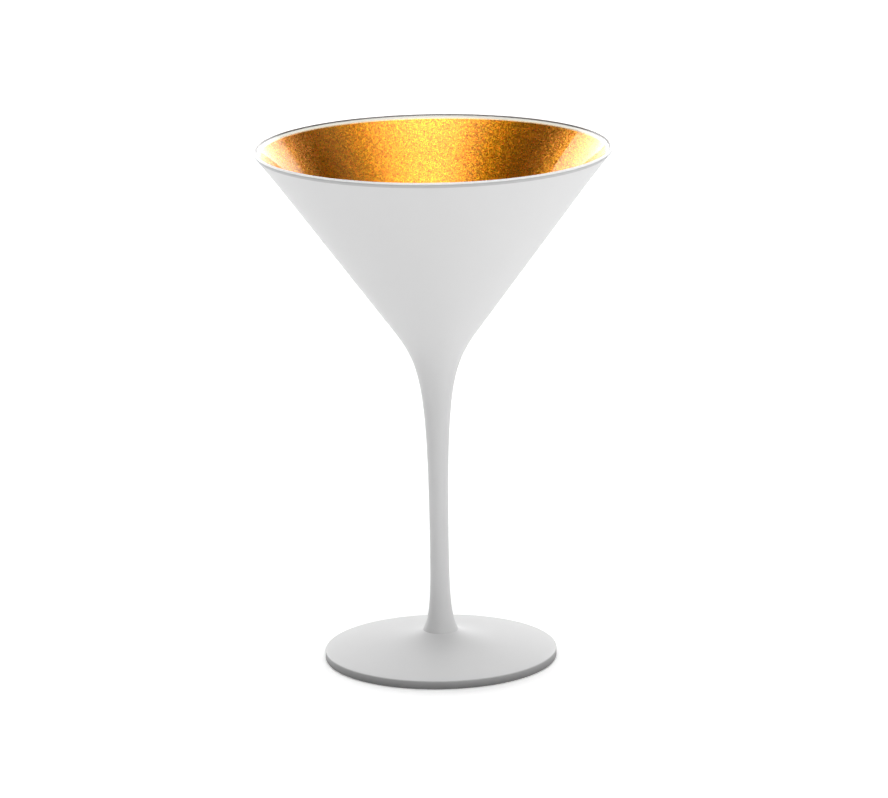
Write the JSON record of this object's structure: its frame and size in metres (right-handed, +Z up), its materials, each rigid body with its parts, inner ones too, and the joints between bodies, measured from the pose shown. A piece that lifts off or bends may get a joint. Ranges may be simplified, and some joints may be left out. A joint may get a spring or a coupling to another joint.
{
  "type": "martini glass",
  "caption": "Stemmed cocktail glass with a wide conical bowl, gold inside and satin white outside, a slim drawn stem and a thin disc foot.",
  "frame": {"origin": "centre of the base, on the plane that the foot's resting land stands on", "axes": "+Z up along the stem's axis, towards the rim"},
  "size_m": [0.116, 0.116, 0.1715],
  "materials": {
    "clear_glass": "polished",
    "gold_lacquer": "gloss",
    "white_lacquer": "satin"
  },
  "bodies": {
    "root": {"glass_bowl": "clear_glass", "glass_stem": "clear_glass", "glass_foot": "clear_glass", "gold_lacquer": "gold_lacquer", "bowl_lacquer": "white_lacquer", "stem_lacquer": "white_lacquer", "foot_lacquer": "white_lacquer"}
  },
  "joints": []
}
